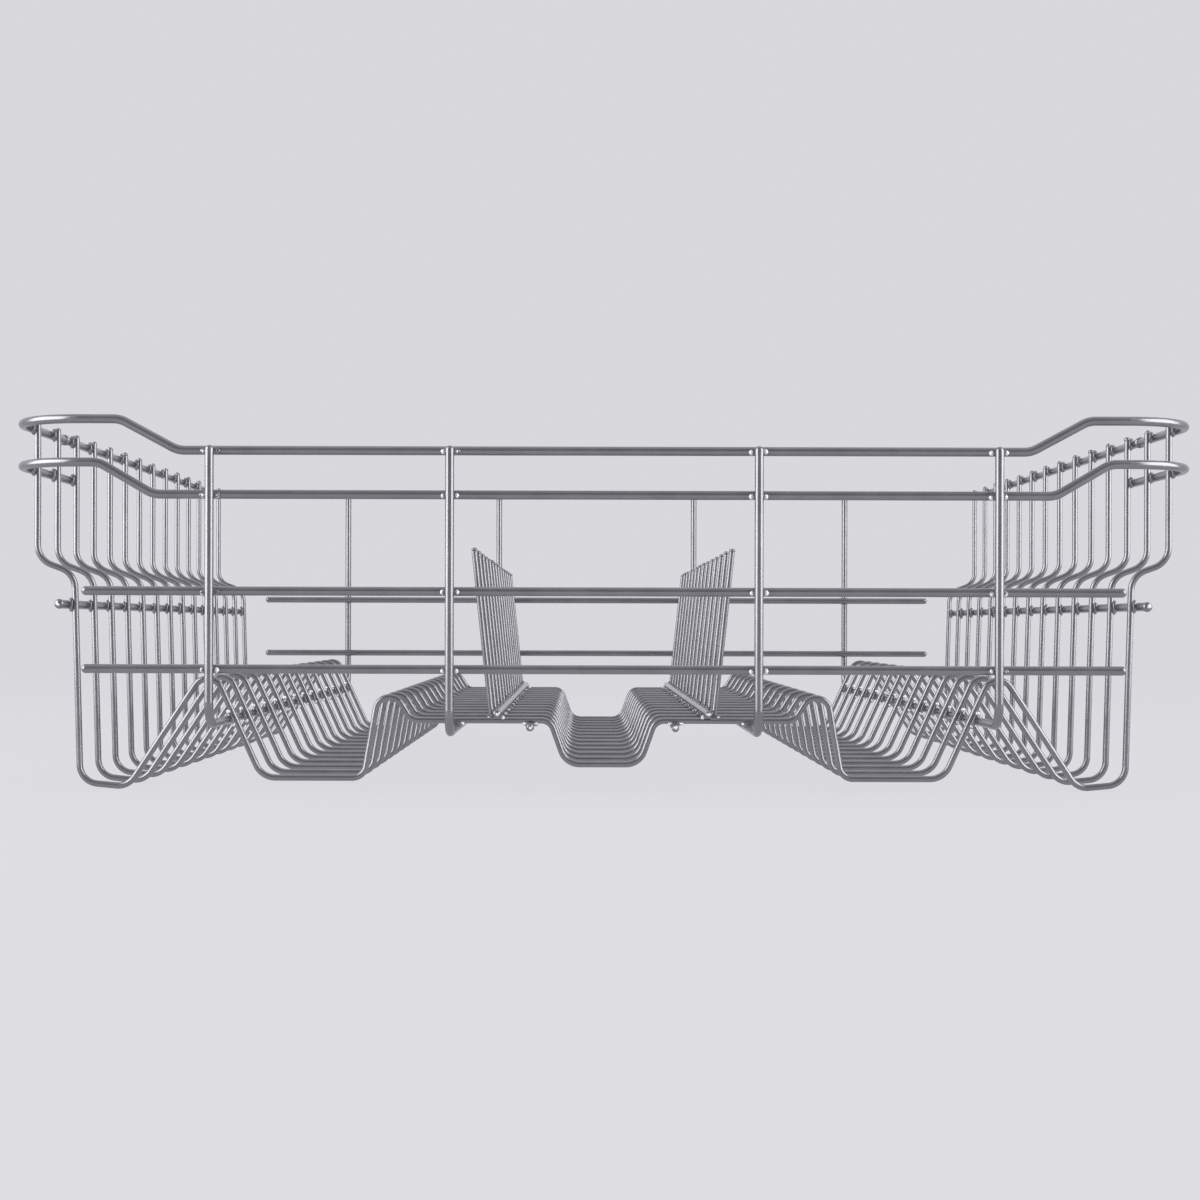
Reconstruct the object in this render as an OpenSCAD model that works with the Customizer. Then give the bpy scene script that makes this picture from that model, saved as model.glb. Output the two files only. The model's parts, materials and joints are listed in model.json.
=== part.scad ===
// Upper basket of a dishwasher, welded from round coated steel wires.
// +X is to the right, +Y runs from the front to the back, +Z is up.
// The origin is under the middle of the basket, at the height of the lowest wires.
// Fourteen cross wires, all bent alike, hold up the load, and rails and frames tie them together.

/* [Basket] */
// Overall width over the side arms of the rim
basket_w = 542; // [520:1:600]
// Overall depth over the front and back uprights
basket_depth = 508; // [440:1:600]
// Height of the rim's centre line above the lowest wires
rim_h = 169.2; // [155:0.2:200]

/* [Wire thickness] */
// Diameter of the rim, the guard rail and the straight rails
rail_d = 4.1; // [3.4:0.1:5]
// Diameter of the four frames that run under the load
frame_d = 4; // [3.4:0.1:5]
// Diameter of the cross wires
cross_d = 3; // [2.4:0.1:4]
// Diameter of the two wires that carry the tines
base_d = 3.4; // [2.6:0.1:4]
// Diameter of the two wires under the middle of the shelf
under_d = 3.2; // [2.6:0.1:4]
// Diameter of the tines
tine_d = 2.6; // [2:0.1:3.4]

/* [Cross wires] */
// Number of cross wires
cross_count = 14; // [6:1:14]
// Distance from the front of the basket to the first cross wire
first_wire_in = 47; // [44:0.5:60]
// Distance from the back of the basket to the last cross wire
last_wire_in = 17.7; // [17:0.1:40]
// Height of the lower corner of the step in the side walls
step_h = 100; // [96:0.5:110]
// Height difference between the two corners of the step
step_rise = 6.4; // [3:0.1:12]
// How far the side walls step inwards
step_in = 17.4; // [14:0.1:22]
// How far the side walls lean inwards below the step
wall_lean = 2.8; // [0:0.1:6]
// Width of the floor of the outer valleys
valley_w = 22.4; // [16:0.1:28]
// Fall of that floor towards the middle
valley_fall = 2.1; // [0:0.1:4]
// Width of the outer slope of the outer ridges
outer_slope_w = 38.4; // [32:0.2:42]
// Width of the inner slope of the outer ridges
inner_slope_w = 24.4; // [22:0.2:30]
// Height at which the two slopes of an outer ridge would meet
ridge_h = 58.1; // [50:0.1:62]
// Distance from the middle to the inner end of the plate valleys
plate_valley_x = 112; // [104:0.5:120]
// Height of the floor of the plate valleys
plate_valley_h = 4.4; // [1:0.1:10]
// Width of the steep slope from a plate valley to its inner ridge
steep_w = 8.4; // [4:0.1:14]
// Height at which the two slopes of an inner ridge would meet
inner_ridge_h = 53.7; // [48:0.1:60]
// Distance from the middle to the outer end of the shelf
shelf_out_x = 89.8; // [84:0.2:92]
// Distance from the middle to the inner end of the shelf
shelf_in_x = 24.6; // [22:0.2:28]
// Height of the shelf
shelf_h = 31.5; // [26:0.1:36]
// Half the width of the middle channel's floor
channel_x = 17.2; // [14:0.2:19]
// Height of the middle channel's floor
channel_h = 11; // [6:0.2:14]

/* [Bends of the cross wires] */
// Bend radius at the step in the side walls
step_r = 10; // [6:0.5:11]
// Bend radius at the foot of the side walls and in the outer valleys
valley_r = 9; // [6:0.5:10]
// Bend radius over the outer ridges
ridge_r = 7; // [5:0.5:9]
// Bend radius at the outer end of the plate valleys
plate_r = 10; // [6:0.5:12]
// Bend radius over the inner ridges and at the inner end of the plate valleys
inner_r = 6.5; // [4:0.5:7]
// Bend radius at both ends of the shelf
shelf_r = 6; // [4:0.5:7]
// Bend radius at the floor of the middle channel
channel_r = 9; // [6:0.5:10]

/* [Rim and guard rail] */
// How far the rim is bent down across the front
rim_dip = 14; // [8:0.5:20]
// Width of each of the rim's two rises
rim_rise_w = 26; // [18:0.5:40]
// Distance from the basket's sides to the upper ends of these rises
rim_top_in = 54; // [48:0.5:70]
// How far the guard rail's side arms lie below the rim's
guard_drop = 19.4; // [12:0.2:30]
// How far the guard rail is bent down across the front
guard_dip = 14.3; // [8:0.1:20]
// Width of each of the guard rail's two rises
guard_rise_w = 24.5; // [18:0.5:40]
// Distance from the basket's sides to the upper ends of these rises
guard_top_in = 44.5; // [44:0.5:60]
// Bend radius of both rises
rise_r = 12; // [8:1:16]
// Bend radius of the front corners of the rim and the guard rail
front_corner_r = 34; // [20:1:36]
// Bend radius of the back corners of the rim
rear_corner_r = 12; // [8:1:12]
// Number of cross wires that the guard rail's side arms reach
guard_arm_count = 3; // [2:1:5]
// How far an arm or rail runs on past the last wire that it is welded to
arm_end = 8; // [4:0.5:14]

/* [Straight rails] */
// Height of the front rail between the uprights, at mid height
front_mid_h = 92.2; // [84:0.2:110]
// Height of the back rail at mid height
back_mid_h = 95; // [84:0.2:110]
// Height of the lowest rail at the front
front_low_h = 57.3; // [50:0.1:70]
// Height of the lowest rail at the back
back_low_h = 57.6; // [50:0.1:70]
// Distance from the basket's sides to the ends of the straight rails
straight_rail_in = 37; // [32:0.5:80]
// Height of the rails along the two sides
side_rail_h = 86.4; // [70:0.2:88]
// How far the side rails run out in front of the first cross wire
side_rail_front = 16; // [6:0.5:24]
// How far the side rails run on past the last cross wire
side_rail_back = 5; // [3:0.5:8]

/* [Frames] */
// Distance from the middle to the inner frames
inner_frame_x = 69; // [64:0.5:76]
// Distance from the middle of the outer ridges to the outer frames
outer_frame_in = 8.2; // [6:0.1:12]
// Bend radius between a frame's uprights and its bottom
frame_r = 10; // [7:0.5:14]

/* [Shelf wires and tines] */
// Distance from the middle to the wires under the shelf
under_x = 34; // [31:0.5:50]
// Distance from the middle to the wires that carry the tines
base_x = 49.3; // [44:0.1:58]
// How far these wires run out past the first and the last cross wire
shelf_wire_end = 7; // [4:0.5:12]
// Height of the tines above the shelf's wires
tine_h = 78.5; // [50:0.5:100]
// Outward lean of the tines in degrees
tine_lean = 6.1; // [0:0.1:8]

/* [Hidden] */
$fn = 36;
steel = [0.56, 0.56, 0.58];

// Gap between two coated wires where they are welded
weld_gap = 0.05;
// The coating lies a hair thicker on bends and on wire ends than on straight wire
swell = 0.03;
// How far a straight stretch runs into its bend
lap = 0.1;
// Share of the pitch between the second and the third cross wire where the rim is butt welded
rim_joint_share = 0.7;

function seat(d1, d2) = (d1 + d2) / 2 + weld_gap;
function unit(v) = v / norm(v);
function mirrored(p) = [-p.x, p.y, p.z];
function reversed(list) = [for (i = [len(list) - 1 : -1 : 0]) list[i]];
function both_sides(half) = concat(half, [for (p = reversed(half)) mirrored(p)]);
function both_radii(half) = concat(half, reversed(half));

// A bent wire is a list of the points where its straight stretches would meet, with a radius for each
function heading(p, i) = unit(p[i + 1] - p[i]);
function turn(p, i) = acos(heading(p, i - 1) * heading(p, i));
function setback(p, r, i) = r[i] * tan(turn(p, i) / 2);
function bend_axis(p, i) = unit(cross(heading(p, i - 1), heading(p, i)));
function bend_toward(p, i) = cross(bend_axis(p, i), heading(p, i - 1));
function bend_centre(p, r, i) = p[i] - setback(p, r, i) * heading(p, i - 1) + r[i] * bend_toward(p, i);
function placed(x, y, z, at) = [
    [x.x, y.x, z.x, at.x],
    [x.y, y.y, z.y, at.y],
    [x.z, y.z, z.z, at.z],
    [0, 0, 0, 1]
];
function across(u) = unit(cross(u, abs(u.z) < abs(u.x) + abs(u.y) ? [0, 0, 1] : [1, 0, 0]));

// Places along the depth
upright_y = basket_depth / 2 - frame_d / 2;
rail_y = upright_y - seat(frame_d, rail_d);
first_y = first_wire_in - basket_depth / 2;
last_y = basket_depth / 2 - last_wire_in;
cross_pitch = (last_y - first_y) / (cross_count - 1);
rim_joint_y = cross_y(1) + rim_joint_share * cross_pitch;
guard_end_y = cross_y(guard_arm_count - 1) + arm_end;
function cross_y(i) = first_y + i * cross_pitch;

// Places across the width
rim_x = basket_w / 2 - rail_d / 2;
wall_x = rim_x - seat(rail_d, cross_d);
low_wall_x = wall_x - step_in;
valley_out_x = low_wall_x - wall_lean;
valley_in_x = valley_out_x - valley_w;
ridge_x = valley_in_x - outer_slope_w;
plate_out_x = ridge_x - inner_slope_w;
inner_ridge_x = plate_valley_x - steep_w;
outer_frame_x = ridge_x - outer_frame_in;
rim_top_x = basket_w / 2 - rim_top_in;
guard_top_x = basket_w / 2 - guard_top_in;
straight_rail_end = basket_w / 2 - straight_rail_in;

// Outline of the right half of a cross wire, from the rim to the middle channel,
// with heights above the inner corner of the outer valley
half_outline = [
    [wall_x, 0, rim_h],
    [wall_x, 0, step_h + step_rise],
    [low_wall_x, 0, step_h],
    [valley_out_x, 0, valley_fall],
    [valley_in_x, 0, 0],
    [ridge_x, 0, ridge_h],
    [plate_out_x, 0, plate_valley_h],
    [plate_valley_x, 0, plate_valley_h],
    [inner_ridge_x, 0, inner_ridge_h],
    [shelf_out_x, 0, shelf_h],
    [shelf_in_x, 0, shelf_h],
    [channel_x, 0, channel_h]
];
half_bends = [
    0, step_r, step_r, valley_r, valley_r, ridge_r,
    plate_r, inner_r, inner_r, shelf_r, shelf_r, channel_r
];
valley_bend = 4;
ridge_bend = 5;

// The wire is lifted until its lowest bends stand on the floor, and its tips end just above the rim
lift = (cross_d + swell) / 2 - (bend_centre(half_outline, half_bends, valley_bend).z - valley_r);
tip_z = rim_h + rail_d / 2 + cross_d / 3;
half_wire = [
    for (i = [0 : len(half_outline) - 1])
        [half_outline[i].x, 0, i == 0 ? tip_z : half_outline[i].z + lift]
];
shelf_z = shelf_h + lift;
under_z = shelf_z - seat(cross_d, under_d);
base_z = shelf_z + seat(cross_d, base_d);
inner_frame_z = shelf_z - seat(cross_d, frame_d);

// The outer frames lie under the inner slope of the outer ridges, welded to its lower side
slope = unit(half_wire[ridge_bend] - half_wire[ridge_bend + 1]);
slope_seat = seat(cross_d, frame_d);
slope_foot_x = outer_frame_x - slope_seat * slope.z;
outer_frame_z = half_wire[ridge_bend].z - (half_wire[ridge_bend].x - slope_foot_x) * slope.z / slope.x
    - slope_seat * slope.x;

// The side rails lie on the outer side of the leaning lower walls
lean = unit(half_wire[2] - half_wire[3]);
side_rail_x = half_wire[2].x - (half_wire[2].z - side_rail_h) * lean.x / lean.z
    + seat(cross_d, rail_d) / lean.z;

// The tines stand on the shelf's wires, against the outer side of the wires that carry them
tine_foot_z = shelf_z + seat(cross_d, tine_d) - tine_d / 2;
tine_x = base_x + seat(base_d, tine_d) / cos(tine_lean)
    - (base_z - tine_foot_z) * tan(tine_lean);
tine_top_z = shelf_z + cross_d / 2 + tine_h;

function numbered(name) = [for (i = [1 : cross_count]) str(name, i < 10 ? "_0" : "_", i)];
cross_names = numbered("cross_wire");
left_tine_names = numbered("left_tine");
right_tine_names = numbered("right_tine");

// One straight stretch, from bend i to bend i + 1, with a domed end where the wire stops
module stretch(p, r, i, d, domed) {
    u = heading(p, i);
    side = across(u);
    end = domed ? d / 2 : 0;
    from = i == 0 ? end : setback(p, r, i) - lap;
    to = norm(p[i + 1] - p[i]) - (i == len(p) - 2 ? end : setback(p, r, i + 1) - lap);
    multmatrix(placed(side, cross(u, side), u, p[i] + from * u)) {
        cylinder(h = to - from, d = d);
        if (domed && i == 0) sphere(d = d + swell);
        if (domed && i == len(p) - 2) translate([0, 0, to - from]) sphere(d = d + swell);
    }
}

module bend(p, r, i, d) {
    u = heading(p, i - 1);
    multmatrix(placed(-bend_toward(p, i), u, bend_axis(p, i), bend_centre(p, r, i)))
        rotate_extrude(angle = turn(p, i))
            translate([r[i], 0]) circle(d = d + swell);
}

module bent_wire(p, r, d, domed = true) {
    for (i = [0 : len(p) - 2]) stretch(p, r, i, d, domed);
    for (i = [1 : len(p) - 2]) bend(p, r, i, d);
}

module straight_wire(from, to, d) {
    bent_wire([from, to], [0, 0], d);
}

module cross_wire(i) {
    color(steel) translate([0, cross_y(i), 0])
        bent_wire(both_sides(half_wire), both_radii(half_bends), cross_d);
}

// The front part of the rim is bent down across the front, so that the basket can be reached into
module front_rim() {
    low_z = rim_h - rim_dip;
    half = [
        [rim_x, rim_joint_y, rim_h],
        [rim_x, -rail_y, rim_h],
        [rim_top_x, -rail_y, rim_h],
        [rim_top_x - rim_rise_w, -rail_y, low_z]
    ];
    color(steel) bent_wire(both_sides(half), both_radii([0, front_corner_r, rise_r, rise_r]), rail_d, false);
}

module rear_rim() {
    half = [[rim_x, rim_joint_y, rim_h], [rim_x, rail_y, rim_h]];
    color(steel) bent_wire(both_sides(half), both_radii([0, rear_corner_r]), rail_d, false);
}

// The guard rail follows the front of the rim, and its side arms stop after a few cross wires
module front_guard_rail() {
    high_z = rim_h - guard_drop;
    half = [
        [rim_x, guard_end_y, high_z],
        [rim_x, -rail_y, high_z],
        [guard_top_x, -rail_y, high_z],
        [guard_top_x - guard_rise_w, -rail_y, high_z - guard_dip]
    ];
    color(steel) bent_wire(both_sides(half), both_radii([0, front_corner_r, rise_r, rise_r]), rail_d);
}

module level_rail(y, z) {
    color(steel) straight_wire([-straight_rail_end, y, z], [straight_rail_end, y, z], rail_d);
}

module side_rail(side) {
    front = [side * side_rail_x, first_y - side_rail_front, side_rail_h];
    back = [side * side_rail_x, last_y + side_rail_back, side_rail_h];
    color(steel) straight_wire(front, back, rail_d);
}

// A frame is one wire: an upright at the front, the bottom under the load and an upright at the back
module frame(x, bottom_z) {
    front_top = rim_h - rim_dip + rail_d / 2;
    back_top = rim_h + rail_d / 2;
    path = [
        [x, -upright_y, front_top],
        [x, -upright_y, bottom_z],
        [x, upright_y, bottom_z],
        [x, upright_y, back_top]
    ];
    color(steel) bent_wire(path, [0, frame_r, frame_r, 0], frame_d);
}

// The wires under and on the shelf are welded to every cross wire
module shelf_wire(x, z, d) {
    color(steel) straight_wire([x, first_y - shelf_wire_end, z], [x, last_y + shelf_wire_end, z], d);
}

module tine(side, i) {
    foot = [side * tine_x, cross_y(i), tine_foot_z];
    top = [side * (tine_x + (tine_top_z - tine_foot_z) * tan(tine_lean)), cross_y(i), tine_top_z];
    color(steel) straight_wire(foot, top, tine_d);
}

front_rim();
rear_rim();
front_guard_rail();
level_rail(-rail_y, front_mid_h);  // front_mid_rail
level_rail(-rail_y, front_low_h);  // front_low_rail
level_rail(rail_y, back_mid_h);  // back_mid_rail
level_rail(rail_y, back_low_h);  // back_low_rail
side_rail(-1);  // left_side_rail
side_rail(1);  // right_side_rail
frame(-outer_frame_x, outer_frame_z);  // outer_left_frame
frame(-inner_frame_x, inner_frame_z);  // inner_left_frame
frame(inner_frame_x, inner_frame_z);  // inner_right_frame
frame(outer_frame_x, outer_frame_z);  // outer_right_frame
shelf_wire(-under_x, under_z, under_d);  // left_under_wire
shelf_wire(under_x, under_z, under_d);  // right_under_wire
shelf_wire(-base_x, base_z, base_d);  // left_tine_base
shelf_wire(base_x, base_z, base_d);  // right_tine_base
for (i = [0 : cross_count - 1]) {
    cross_wire(i);
    tine(-1, i);
    tine(1, i);
}
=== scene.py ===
# %% [markdown]
# This lesson dresses the upper basket of a dishwasher. Such a basket is bent from round steel wire and
# welded wherever two wires cross. It is then dipped in a fine grey powder, which melts on the hot wire
# to a satin coat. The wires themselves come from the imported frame, because their bends and diameters
# are right there. What the frame doesn't have is made here: the welds, the coat and the studio.

# %% Load the frame
import json
import math
import random

import bmesh
import bpy
from mathutils import Matrix, Vector

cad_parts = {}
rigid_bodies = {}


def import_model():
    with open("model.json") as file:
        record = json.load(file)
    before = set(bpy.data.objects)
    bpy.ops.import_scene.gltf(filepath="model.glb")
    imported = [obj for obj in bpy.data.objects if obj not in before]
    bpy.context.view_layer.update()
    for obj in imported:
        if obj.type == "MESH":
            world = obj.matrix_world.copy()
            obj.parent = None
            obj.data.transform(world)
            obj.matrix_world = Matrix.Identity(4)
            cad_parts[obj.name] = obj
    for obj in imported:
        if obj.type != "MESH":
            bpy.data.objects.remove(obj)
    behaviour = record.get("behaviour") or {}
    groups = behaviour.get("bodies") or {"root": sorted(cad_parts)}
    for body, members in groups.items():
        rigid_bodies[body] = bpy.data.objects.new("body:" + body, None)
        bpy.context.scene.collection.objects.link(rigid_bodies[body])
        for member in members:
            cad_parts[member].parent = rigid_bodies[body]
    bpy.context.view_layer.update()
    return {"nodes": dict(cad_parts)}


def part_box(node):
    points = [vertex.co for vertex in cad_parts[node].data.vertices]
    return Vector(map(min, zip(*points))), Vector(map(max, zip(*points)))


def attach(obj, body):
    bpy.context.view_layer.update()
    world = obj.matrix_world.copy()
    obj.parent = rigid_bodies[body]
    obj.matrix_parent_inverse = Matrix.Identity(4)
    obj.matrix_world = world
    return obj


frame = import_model()
mm = 0.001
print("wires in the frame:", len(frame["nodes"]))

# %% [markdown]
# The camera comes first, because everything else is judged through it. The photograph was taken from
# about 1.1 m in front of the basket, level, and a little to the left of its middle. The lens looks at a
# point a little beside the middle of the picture, which the two shifts repeat.

# %% Camera
picture = 1200
focal_px = 1905
axis_px = (583, 626)
camera_place = Vector((-9.4, -1101, 76.9)) * mm
camera_roll = math.radians(-0.14)

camera_data = bpy.data.cameras.new("studio_camera")
camera_data.sensor_width = 36
camera_data.lens = camera_data.sensor_width * focal_px / picture
camera_data.shift_x = (picture / 2 - axis_px[0]) / picture
camera_data.shift_y = (axis_px[1] - picture / 2) / picture
camera = bpy.data.objects.new("studio_camera", camera_data)
camera.location = camera_place
camera.rotation_euler = (math.pi / 2, camera_roll, 0)
bpy.context.scene.collection.objects.link(camera)
bpy.context.scene.camera = camera
bpy.context.scene.view_settings.view_transform = "Standard"
print("lens in mm:", round(camera_data.lens, 2))

# %% [markdown]
# Colours are written as people read them, in hex, and one function turns them into the linear
# values that the shaders work with. One more function adds a node with its settings and its links,
# which keeps each material down to a few lines.

# %% Colour and node helpers
def colour(hex_code):
    parts = [int(hex_code[i : i + 2], 16) / 255 for i in (1, 3, 5)]
    return [c / 12.92 if c <= 0.04045 else ((c + 0.055) / 1.055) ** 2.4 for c in parts] + [1]


def add_node(tree, kind, settings=(), **inputs):
    """A node of this kind. An input is a value, or an output socket that is linked to it."""
    node = tree.nodes.new(kind)
    for name, value in dict(settings).items():
        setattr(node, name, value)
    for name, value in inputs.items():
        socket = next(s for s in node.inputs if s.enabled and s.name.replace(" ", "_") == name)
        if isinstance(value, bpy.types.NodeSocket):
            tree.links.new(value, socket)
        else:
            socket.default_value = value
    return node


# %% [markdown]
# The coat looks like nylon full of fine aluminium flakes, melted onto the hot wire. The flakes make it
# behave as a satin metal: the sides that face a lamp turn nearly white, and the side that faces the
# dark camera stays dark. A grazing view is mirrored a little less than by bare metal, which the edge
# tint says. The melt leaves a faint orange peel about 2.5 mm across, and a slightly cloudy gloss. Both
# come from noise on Object coordinates, because the wires have no seams to follow. Some beads beside
# the welds get the same recipe with near-white tints and fewer flakes. That paleness is a painted
# highlight, which stands in for the lamps' glints on those beads.

# %% Satin nylon dip coat
edge_tint = colour("#F0F0F4")
nylon_ior = 1.53
cloud_size = 14 * mm
cloud_span = (0.3, 0.7)
peel_size = 2.5 * mm
peel_depth = 0.02 * mm
peel_strength = 0.06


def satin_nylon_coat(name, tints, roughness, flakes):
    """Tints and roughness each go from their first to their second value as the clouds thicken."""
    material = bpy.data.materials.new(name)
    material.use_nodes = True
    tree = material.node_tree
    tree.nodes.clear()
    place = add_node(tree, "ShaderNodeTexCoord").outputs["Object"]

    cloud = add_node(
        tree, "ShaderNodeTexNoise", Vector=place, Scale=1 / cloud_size, Detail=3, Roughness=0.55
    ).outputs["Fac"]
    tint = add_node(tree, "ShaderNodeValToRGB", Fac=cloud)
    for stop, position, hex_code in zip(tint.color_ramp.elements, cloud_span, tints):
        stop.position = position
        stop.color = colour(hex_code)
    gloss = add_node(
        tree,
        "ShaderNodeMapRange",
        Value=cloud,
        From_Min=cloud_span[0],
        From_Max=cloud_span[1],
        To_Min=roughness[0],
        To_Max=roughness[1],
    ).outputs["Result"]

    peel = add_node(
        tree, "ShaderNodeTexNoise", Vector=place, Scale=1 / peel_size, Detail=2, Roughness=0.5
    ).outputs["Fac"]
    bump = add_node(
        tree, "ShaderNodeBump", Height=peel, Strength=peel_strength, Distance=peel_depth
    ).outputs["Normal"]

    shader = add_node(
        tree,
        "ShaderNodeBsdfPrincipled",
        Base_Color=tint.outputs["Color"],
        Roughness=gloss,
        Normal=bump,
        Metallic=flakes,
        IOR=nylon_ior,
        Specular_Tint=edge_tint,
    )
    add_node(tree, "ShaderNodeOutputMaterial", Surface=shader.outputs["BSDF"])
    return material


coat = satin_nylon_coat(
    "satin_grey_nylon_dip_coat_on_steel", tints=("#848488", "#8E8E92"), roughness=(0.22, 0.28), flakes=0.9
)
# Near-white tints on some beads: a painted highlight for the lamps' glints on them.
painted_highlight_coat = satin_nylon_coat(
    "pooled_nylon_on_weld_beads", tints=("#E6E6EA", "#F0F0F4"), roughness=(0.22, 0.3), flakes=0.4
)
for wire in frame["nodes"].values():
    wire.data.materials.clear()
    wire.data.materials.append(coat)
print("coated wires:", len(frame["nodes"]))

# %% [markdown]
# Where two wires cross they are pressed together and melted into each other for a moment. That
# leaves a small round plug of metal in the gap between them, which the coat then fills and rounds.
# Each plug starts as a short round of metal, is dished on both faces where the wires sink in, and is
# rounded all along its rim. It is modelled once, one unit wide, and every weld is a copy that is
# stretched to its own place. An operator acts on all that is selected, so a small helper deselects
# everything before each new shape.

# %% One weld plug
unit_r = 0.5
hair = 0.01
plug_sides = 16
dish_margin = 0.3
dish_floor_share = 0.55
rim_rounding = 0.27


def deselect_all():
    for other in bpy.context.view_layer.objects:
        other.select_set(False)


def weld_plug():
    deselect_all()
    bpy.ops.mesh.primitive_cylinder_add(
        vertices=plug_sides, radius=unit_r, depth=2 * unit_r, end_fill_type="NGON", location=(0, 0, 0)
    )
    plug = bpy.context.object
    bpy.ops.object.mode_set(mode="EDIT")
    shape = bmesh.from_edit_mesh(plug.data)
    for face in shape.faces:
        face.select_set(abs(face.normal.z) > 0.5)
    bmesh.update_edit_mesh(plug.data)
    bpy.ops.mesh.inset(thickness=dish_margin, use_individual=True)
    bpy.ops.transform.resize(value=(1, 1, dish_floor_share))
    bpy.ops.mesh.select_mode(type="EDGE")
    shape = bmesh.from_edit_mesh(plug.data)
    near_rim = unit_r - hair
    for edge in shape.edges:
        rim = all(vertex.co.xy.length > near_rim and abs(vertex.co.z) > near_rim for vertex in edge.verts)
        level = abs(edge.verts[0].co.z - edge.verts[1].co.z) < hair
        edge.select_set(rim and level)
    bmesh.update_edit_mesh(plug.data)
    bpy.ops.mesh.bevel(offset=rim_rounding, segments=4, profile=0.5)
    bpy.ops.mesh.select_all(action="SELECT")
    bpy.ops.mesh.normals_make_consistent(inside=False)
    bpy.ops.object.mode_set(mode="OBJECT")
    bpy.ops.object.shade_smooth()
    return plug


plug = weld_plug()
print("faces of the weld plug:", len(plug.data.polygons))

# %% [markdown]
# Melted coat draws itself into a ball wherever metal sticks out. A bead starts as an icosphere, whose
# even triangles have no poles to pinch. Its points are shaken a little and smoothed again, and the half
# towards the wire is flattened. It is one unit wide too, and is copied as the plug is.

# %% One bead of coat
bead_shake = 0.02
bead_back_share = 0.6


def coat_bead():
    deselect_all()
    bpy.ops.mesh.primitive_ico_sphere_add(subdivisions=2, radius=unit_r, location=(0, 0, 0))
    bead = bpy.context.object
    bpy.ops.object.mode_set(mode="EDIT")
    bpy.ops.transform.vertex_random(offset=bead_shake, seed=5)
    bpy.ops.mesh.vertices_smooth(factor=0.5, repeat=1)
    shape = bmesh.from_edit_mesh(bead.data)
    for vertex in shape.verts:
        vertex.select_set(vertex.co.z < -hair)
    shape.select_flush_mode()
    bmesh.update_edit_mesh(bead.data)
    bpy.ops.transform.resize(value=(1, 1, bead_back_share), center_override=(0, 0, 0))
    bpy.ops.object.mode_set(mode="OBJECT")
    bpy.ops.object.shade_smooth()
    return bead


bead = coat_bead()
print("faces of the bead:", len(bead.data.polygons))

# %% [markdown]
# Every weld is placed from the boxes of the wires that it joins, so nothing has to be measured
# twice. A weld is a middle, the direction from one wire to the other, the direction of the wire that
# it runs along, and three widths in millimetres: along that wire, across it, and through the joint.
# Real ones differ a little in size and sit a little off the crossing, so each is varied at random, and
# the seed keeps every run the same.

# %% Weld list and helpers
random.seed(7)
size_spread = (0.88, 1.1)
slip_mm = 0.25
wire_x, wire_y, wire_z = Vector((1, 0, 0)), Vector((0, 1, 0)), Vector((0, 0, 1))
welds = []


def low(name):
    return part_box(name)[0]


def high(name):
    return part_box(name)[1]


def middle(name):
    return (low(name) + high(name)) / 2


def weld(group, at, through, along, widths):
    """Note one weld of a group. The groups become the scene's new pieces."""
    size = Vector(widths) * mm * random.uniform(*size_spread)
    slip = Vector([random.uniform(-1, 1) for axis in range(3)]) * slip_mm * mm
    welds.append((group, Vector(at) + slip, Vector(through), Vector(along), size))


def numbered(stem):
    return sorted(name for name in frame["nodes"] if name.startswith(stem))


cross_wires = numbered("cross_wire")
print("cross wires:", len(cross_wires))

# %% [markdown]
# The first welds hold the tops of the cross wires on the rim and, near the front, on the side arms of
# the guard rail below it.

# %% Welds of the rim and the guard rail
rim_weld = (6.4, 5.6, 3.0)
guard_rail_weld = (6.2, 5.4, 2.8)

rail_d = high("front_mid_rail").z - low("front_mid_rail").z
cross_d = high(cross_wires[0]).y - low(cross_wires[0]).y
rim_z = high("rear_rim").z - rail_d / 2
arm_z = high("front_guard_rail").z - rail_d / 2
arm_end_y = high("front_guard_rail").y
wall_x = high(cross_wires[0]).x

for name in cross_wires:
    y = middle(name).y
    for side in (-1, 1):
        weld("rim_welds", (side * wall_x, y, rim_z), wire_x, wire_z, rim_weld)
        if y < arm_end_y:
            weld("guard_rail_welds", (side * wall_x, y, arm_z), wire_x, wire_z, guard_rail_weld)
print("welds so far:", len(welds))

# %% [markdown]
# Each cross wire is also welded to both side rails, to the four frames, and to the wires that run along
# the shelf. The outer frames lie under the inner slope of the outer ridges, so their welds are turned
# square to that slope.

# %% Welds of the side rails, the frames and the shelf wires
side_rail_weld = (6.6, 5.2, 2.4)
inner_frame_weld = (9.2, 4.0, 2.6)
outer_frame_weld = (8.8, 4.2, 2.6)
under_wire_weld = (7.2, 3.8, 2.4)
tine_base_weld = (6.8, 4.0, 2.4)
ridge_slope = math.radians(65.56)

side_rail = "right_side_rail"
side_rail_inner_x = low(side_rail).x
side_rail_z = middle(side_rail).z
outer_frame_x = middle("outer_right_frame").x
inner_frame_x = middle("inner_right_frame").x
under_x = middle("right_under_wire").x
base_x = middle("right_tine_base").x
frame_d = high("outer_right_frame").x - low("outer_right_frame").x
base_d = high("right_tine_base").x - low("right_tine_base").x
shelf_low_z = low("inner_right_frame").z + frame_d
shelf_top_z = low("right_tine_base").z
outer_frame_z = low("outer_right_frame").z + frame_d / 2


def ridge_seat(side, y):
    """The place where an outer frame meets its ridge, the way from the ridge to it, and the way up."""
    outward = Vector((side * math.sin(ridge_slope), 0, -math.cos(ridge_slope)))
    up_slope = Vector((side * math.cos(ridge_slope), 0, math.sin(ridge_slope)))
    seat = Vector((side * outer_frame_x, y, outer_frame_z)) - outward * frame_d / 2
    return seat, outward, up_slope


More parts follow.
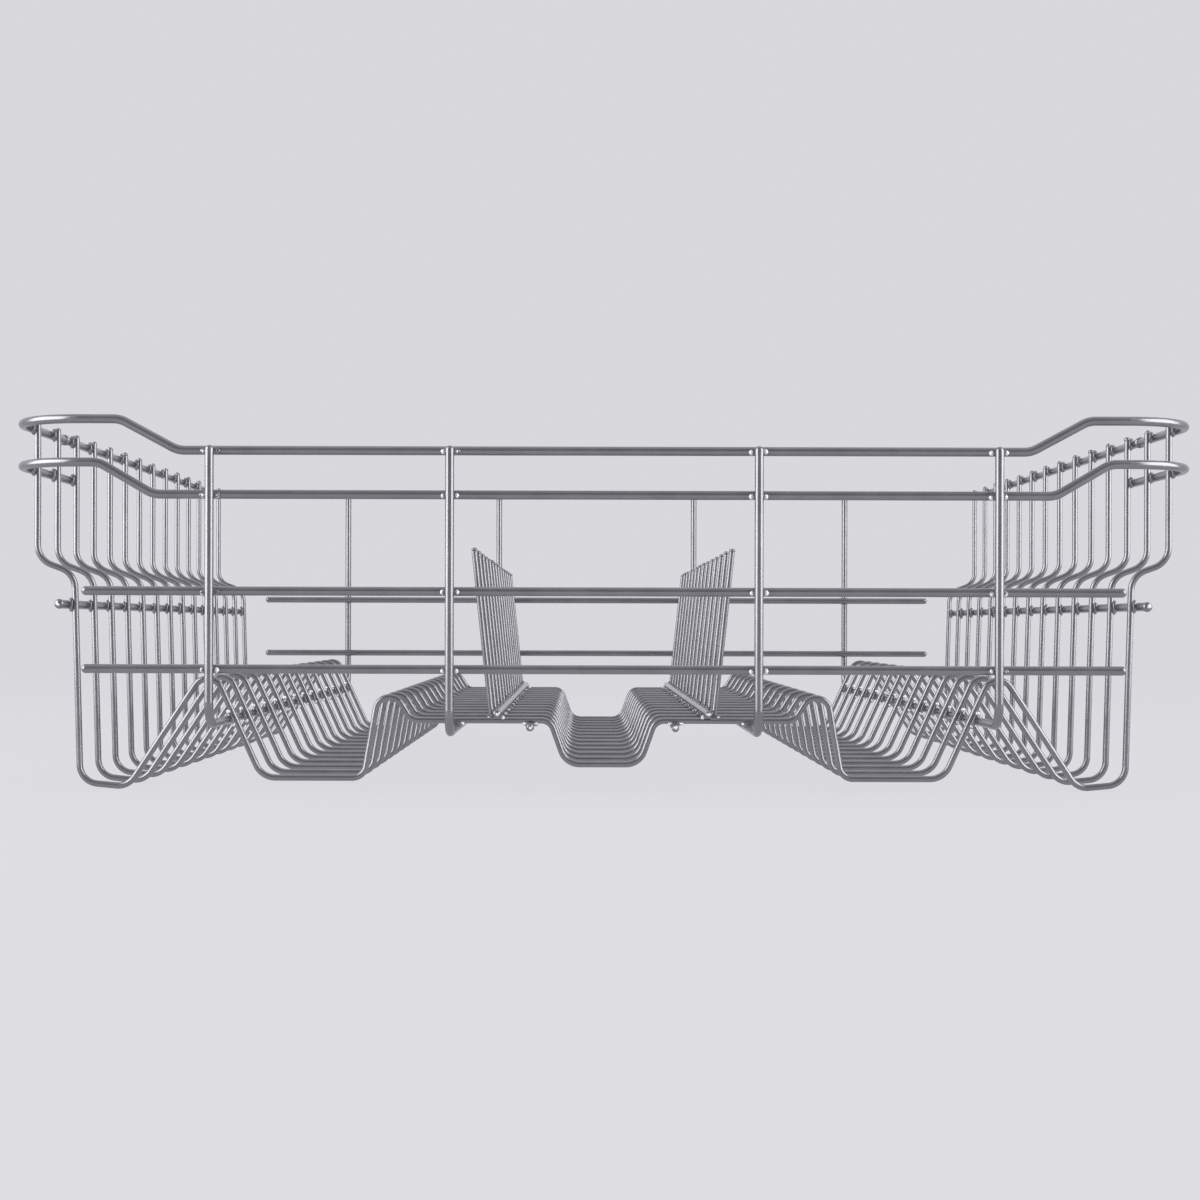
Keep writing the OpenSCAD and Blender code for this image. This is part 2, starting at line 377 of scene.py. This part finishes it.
for name in cross_wires:
    y = middle(name).y
    for side in (-1, 1):
        at = (side * side_rail_inner_x, y, side_rail_z)
        weld("side_rail_welds", at, wire_x, wire_z, side_rail_weld)
        weld("frame_welds", (side * inner_frame_x, y, shelf_low_z), wire_z, wire_x, inner_frame_weld)
        weld("shelf_welds", (side * under_x, y, shelf_low_z), wire_z, wire_x, under_wire_weld)
        weld("shelf_welds", (side * base_x, y, shelf_top_z), wire_z, wire_x, tine_base_weld)
        seat, outward, up_slope = ridge_seat(side, y)
        weld("frame_welds", seat, outward, up_slope, outer_frame_weld)
print("welds so far:", len(welds))

# %% [markdown]
# The frames' uprights are welded to the rails across the front and the back. The tines stand on the
# shelf with their feet on the cross wires, and each is held by a second weld against its tine base.

# %% Welds of the uprights and the tines
upright_weld = (8.8, 3.0, 3.4)
upright_weld_sag = 0.3 * mm
tine_foot_weld = (5.0, 3.8, 2.2)
tine_hold_weld = (4.6, 4.2, 1.8)
tine_d = 2.6 * mm

front_y = low("front_mid_rail").y
back_y = high("back_mid_rail").y
front_heights = [middle(name).z for name in ("front_mid_rail", "front_low_rail")]
front_heights += [low("front_rim").z + rail_d / 2, low("front_guard_rail").z + rail_d / 2]
back_heights = [middle(name).z for name in ("back_mid_rail", "back_low_rail")] + [rim_z]
upright_places = (-outer_frame_x, -inner_frame_x, inner_frame_x, outer_frame_x)

for x in upright_places:
    for z in front_heights:
        weld("front_welds", (x, front_y, z - upright_weld_sag), wire_y, wire_x, upright_weld)
    for z in back_heights:
        weld("back_welds", (x, back_y, z - upright_weld_sag), wire_y, wire_x, upright_weld)

for wire in cross_wires:
    name = f"right_tine_{wire[-2:]}"
    y = middle(name).y
    for side in (-1, 1):
        foot = (side * (low(name).x + tine_d / 2), y, shelf_top_z)
        weld("tine_welds", foot, wire_z, wire_x, tine_foot_weld)
        hold = (side * (base_x + base_d / 2), y, shelf_top_z + base_d / 2)
        weld("tine_welds", hold, wire_x, wire_z, tine_hold_weld)
print("welds so far:", len(welds))

# %% [markdown]
# The coat gathers on sheared wire ends and sets there as a small round cap. This shows at the front
# ends of the side rails, the shelf wires and the tine bases, and on the tops of the cross wires and the
# tines. The caps at the front ends also carry a small near-white drop, which is a painted highlight for
# the lamps' glint on the cap. Such caps catch the lamps, which is the detail that tells a dipped basket
# from bare wire. Their places are noted as the welds' are, and the middle of each cap lies a little
# inside its wire's end.

# %% Beads on the wire ends
rail_cap = (5.0, 5.0, 3.6)
rail_cap_in = 0.8 * mm
# The drops are small near-white beads on the caps: a painted highlight for the lamps' glint there.
rail_painted_highlight = (2.0, 2.0, 1.4)
rail_painted_highlight_out = 1.5 * mm
shelf_cap_extra = 0.8
shelf_cap_depth = 3.0
shelf_cap_in = 0.6 * mm
shelf_painted_highlight = (1.9, 1.9, 1.4)
shelf_painted_highlight_out = 1.2 * mm
side_rail_x = middle(side_rail).x

for side in (-1, 1):
    end = Vector((side * side_rail_x, low(side_rail).y + rail_cap_in, side_rail_z))
    weld("end_beads", end, -wire_y, wire_x, rail_cap)
    # A painted highlight drop on the cap.
    weld("weld_beads", end - wire_y * rail_painted_highlight_out, -wire_y, wire_x, rail_painted_highlight)
    for wire, x in (("right_under_wire", under_x), ("right_tine_base", base_x)):
        end = Vector((side * x, low(wire).y + shelf_cap_in, middle(wire).z))
        width = (high(wire).z - low(wire).z) / mm + shelf_cap_extra
        weld("end_beads", end, -wire_y, wire_x, (width, width, shelf_cap_depth))
        weld("weld_beads", end - wire_y * shelf_painted_highlight_out, -wire_y, wire_x, shelf_painted_highlight)

cross_cap = (3.3, 3.4, 3.2)
cross_cap_in = 0.7 * mm
tine_cap = (3.2, 3.2, 2.4)
tine_cap_in = 0.2 * mm
for name in cross_wires:
    y = middle(name).y
    for side in (-1, 1):
        top = (side * (wall_x - cross_d / 2), y, high(name).z - cross_cap_in)
        weld("end_beads", top, wire_z, wire_x, cross_cap)
        tine = f"right_tine_{name[-2:]}"
        top = (side * (high(tine).x - tine_d / 2), y, high(tine).z - tine_cap_in)
        weld("end_beads", top, wire_z, wire_x, tine_cap)
print("welds and beads:", len(welds))

# %% [markdown]
# More beads sit in pairs beside the welds, where the pressed metal came out on both sides. Those at the
# uprights, at the outer frames, and on the first and the last cross wire get a near-white coat, a painted
# highlight that stands in for the lamps' glints on them. The others lie in the stack of wires and keep
# the wires' own grey, so they are a group of their own.

# %% Beads beside the welds
upright_bead = (2.5, 2.7, 2.6)
upright_bead_step = 3.2 * mm
upright_bead_out = 0.3 * mm
upright_bead_sag = 0.6 * mm
# These beads get the painted highlight coat.
for x in upright_places:
    for side in (-1, 1):
        for z in front_heights:
            at = (x + side * upright_bead_step, front_y - upright_bead_out, z - upright_bead_sag)
            weld("weld_beads", at, -wire_y, wire_x, upright_bead)
        for z in back_heights:
            at = (x + side * upright_bead_step, back_y + upright_bead_out, z - upright_bead_sag)
            weld("weld_beads", at, wire_y, wire_x, upright_bead)

shelf_bead = (1.9, 1.9, 1.9)
ridge_bead = (2.2, 2.2, 2.2)
ridge_bead_step = 3.3 * mm
bead_in = 0.5 * mm
shelf_seats = (
    (inner_frame_x, 3.2 * mm, shelf_low_z),
    (under_x, 2.9 * mm, shelf_low_z),
    (base_x, 2.7 * mm, shelf_top_z),
)
for name in cross_wires:
    y = low(name).y + bead_in
    # Beads on the first and the last cross wire get the painted highlight coat; the rest keep the wires'
    # grey.
    group = "weld_beads" if name in (cross_wires[0], cross_wires[-1]) else "seat_beads"
    for x, step, z in shelf_seats:
        for side in (-1, 1):
            for way in (-1, 1):
                weld(group, (side * x + way * step, y, z), -wire_y, wire_x, shelf_bead)
    for side in (-1, 1):
        seat, outward, up_slope = ridge_seat(side, y)
        for way in (-1, 1):
            at = seat + way * ridge_bead_step * up_slope
            weld("weld_beads", at, -wire_y, wire_x, ridge_bead)
print("welds and beads:", len(welds))

# %% [markdown]
# Now every noted place gets its copy of the plug or the bead. A copy has a mesh of its own, and the
# place, the turn and the stretch go into that mesh, so its object stays at the origin. The copies of a
# group are joined into one piece, because a weld never comes off a basket by itself. The two patterns
# are removed at the end.

# %% Copy the plug and the bead to their places
def place_copy(pattern, at, through, along, size):
    across = through.cross(along)
    turn = Matrix((along, across, through)).transposed().to_4x4()
    copy = pattern.copy()
    copy.data = pattern.data.copy()
    copy.data.transform(Matrix.Translation(at) @ turn @ Matrix.Diagonal(size).to_4x4())
    bpy.context.scene.collection.objects.link(copy)
    return copy


def join_as(name, parts):
    deselect_all()
    for part in parts:
        part.select_set(True)
    bpy.context.view_layer.objects.active = parts[0]
    bpy.ops.object.join()
    parts[0].name = name
    return parts[0]


for group in sorted({entry[0] for entry in welds}):
    pattern = bead if "beads" in group else plug
    parts = [place_copy(pattern, *entry[1:]) for entry in welds if entry[0] == group]
    piece = join_as(group, parts)
    bpy.ops.object.mode_set(mode="EDIT")
    bpy.ops.mesh.select_all(action="SELECT")
    bpy.ops.mesh.normals_make_consistent(inside=False)
    bpy.ops.object.mode_set(mode="OBJECT")
    piece.data.materials.clear()
    # The near-white coat on this group is a painted highlight; the other groups keep the wires' grey.
    piece.data.materials.append(painted_highlight_coat if group == "weld_beads" else coat)
    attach(piece, "root")
    print(group, len(parts), "welds,", len(piece.data.polygons), "faces")
bpy.data.objects.remove(plug)
bpy.data.objects.remove(bead)

# %% [markdown]
# The rim is a ring of two wires, closed by a butt weld on each side, between the second and the third
# cross wire. The two ends were pressed together while they glowed, and the soft steel was squeezed
# out into two lumpy ridges round the joint. Each ridge starts as a torus. Its points are then shaken
# a little and smoothed again, because such a ridge is never even.

# %% Butt welds of the rim
joint_y = low("rear_rim").y
arm_x = high("rear_rim").x - rail_d / 2
ridge_gap = 1.7 * mm
ridge_r = 0.8 * mm
ridge_sink = 0.05 * mm
ridge_shake = 0.28 * mm
first_ridge_seed = 3
ridges = []
for side in (-1, 1):
    for step in (-0.5, 0.5):
        deselect_all()
        bpy.ops.mesh.primitive_torus_add(
            major_segments=28,
            minor_segments=10,
            major_radius=rail_d / 2 - ridge_sink,
            minor_radius=ridge_r,
            location=(side * arm_x, joint_y + step * ridge_gap, rim_z),
            rotation=(math.pi / 2, 0, 0),
        )
        ridge = bpy.context.object
        bpy.ops.object.transform_apply(location=True, rotation=True, scale=True)
        bpy.ops.object.mode_set(mode="EDIT")
        bpy.ops.transform.vertex_random(offset=ridge_shake, seed=first_ridge_seed + len(ridges))
        bpy.ops.mesh.vertices_smooth(factor=0.5, repeat=2)
        bpy.ops.mesh.normals_make_consistent(inside=False)
        bpy.ops.object.mode_set(mode="OBJECT")
        bpy.ops.object.shade_smooth()
        ridges.append(ridge)
rim_joints = join_as("rim_butt_welds", ridges)
rim_joints.data.materials.append(coat)
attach(rim_joints, "root")
print("butt weld faces:", len(rim_joints.data.polygons))

# %% [markdown]
# The studio has a pale floor and a pale room behind it, and the camera sees both in nearly one colour,
# so that hardly any horizon shows. To the camera and in the wires' reflections the floor is mostly
# plain glow of that colour, and a small share of lit paper keeps the basket's shadow on it. All other
# light meets plain matt paper.

# %% Floor
backdrop = "#DADADE"
glow_share = 0.9
glow_strength = 1.01
floor_w = 60


def pale_floor():
    material = bpy.data.materials.new("matt_pale_paper")
    material.use_nodes = True
    tree = material.node_tree
    tree.nodes.clear()
    path = add_node(tree, "ShaderNodeLightPath").outputs
    seen = add_node(tree, "ShaderNodeMath", {"operation": "MAXIMUM"})
    tree.links.new(path["Is Camera Ray"], seen.inputs[0])
    tree.links.new(path["Is Glossy Ray"], seen.inputs[1])
    glow = add_node(tree, "ShaderNodeEmission", Color=colour(backdrop), Strength=glow_strength)
    paper = add_node(tree, "ShaderNodeBsdfDiffuse", Color=colour(backdrop))
    lit = add_node(tree, "ShaderNodeMixShader", Fac=glow_share)
    tree.links.new(paper.outputs["BSDF"], lit.inputs[1])
    tree.links.new(glow.outputs["Emission"], lit.inputs[2])
    pick = add_node(tree, "ShaderNodeMixShader", Fac=seen.outputs["Value"])
    tree.links.new(paper.outputs["BSDF"], pick.inputs[1])
    tree.links.new(lit.outputs["Shader"], pick.inputs[2])
    add_node(tree, "ShaderNodeOutputMaterial", Surface=pick.outputs["Shader"])
    return material


deselect_all()
bpy.ops.mesh.primitive_plane_add(size=floor_w, location=(0, 0, 0))
floor = bpy.context.object
floor.name = "floor"
floor.data.materials.append(pale_floor())
print("floor width in m:", floor_w)

# %% [markdown]
# The photograph was taken in a dim room, with the light coming from the sides, and the wires mirror
# that. So the world is dim in front and below and grows paler above and behind. How far a direction
# leans up and back is its dot product with one vector that points there. The camera itself sees the
# plain backdrop instead.

# %% World
dim_room = 0.37
pale_room = 1.0
up_and_back = (0, 0.7, 0.7)
lean_span = (0.1, 0.72)
room_tint = "#F4F4F8"
backdrop_strength = 0.985


def studio_world():
    world = bpy.data.worlds.new("studio")
    world.use_nodes = True
    tree = world.node_tree
    tree.nodes.clear()
    way = add_node(tree, "ShaderNodeTexCoord").outputs["Generated"]
    lean = add_node(tree, "ShaderNodeVectorMath", {"operation": "DOT_PRODUCT"}, Vector=way)
    lean.inputs[1].default_value = up_and_back
    level = add_node(
        tree,
        "ShaderNodeMapRange",
        Value=lean.outputs["Value"],
        From_Min=lean_span[0],
        From_Max=lean_span[1],
        To_Min=dim_room,
        To_Max=pale_room,
    ).outputs["Result"]
    room = add_node(tree, "ShaderNodeBackground", Color=colour(room_tint), Strength=level)
    pale = add_node(tree, "ShaderNodeBackground", Color=colour(backdrop), Strength=backdrop_strength)
    path = add_node(tree, "ShaderNodeLightPath").outputs
    pick = add_node(tree, "ShaderNodeMixShader", Fac=path["Is Camera Ray"])
    tree.links.new(room.outputs["Background"], pick.inputs[1])
    tree.links.new(pale.outputs["Background"], pick.inputs[2])
    add_node(tree, "ShaderNodeOutputWorld", Surface=pick.outputs["Shader"])
    return world


bpy.context.scene.world = studio_world()
print("strength of the room's light, from dim to pale:", dim_room, pale_room)

# %% [markdown]
# Two large softboxes stand in front of the basket, one to each side. Their mirror images are the two
# white lines down every upright wire. A lamp's power is worked out from the radiance that its surface
# is to have, so its size can change and its image in the wires stays as bright.

# %% Softboxes
def softbox(name, place, size, radiance):
    """A rectangle of light that stands upright and faces the basket's middle."""
    data = bpy.data.lights.new(name, "AREA")
    data.shape = "RECTANGLE"
    data.size = size[0]
    data.size_y = size[1]
    data.energy = radiance * math.pi * size[0] * size[1]
    lamp = bpy.data.objects.new(name, data)
    lamp.location = place
    aim = Vector((0, 0, place[2])) - Vector(place)
    lamp.rotation_euler = aim.to_track_quat("-Z", "Y").to_euler()
    bpy.context.scene.collection.objects.link(lamp)
    return lamp


softbox("softbox_left", place=(-1.2, -0.56, 0.66), size=(1.3, 1.3), radiance=4.0)
softbox("softbox_right", place=(1.2, -0.56, 0.66), size=(1.25, 1.3), radiance=3.7)
print("studio is set")
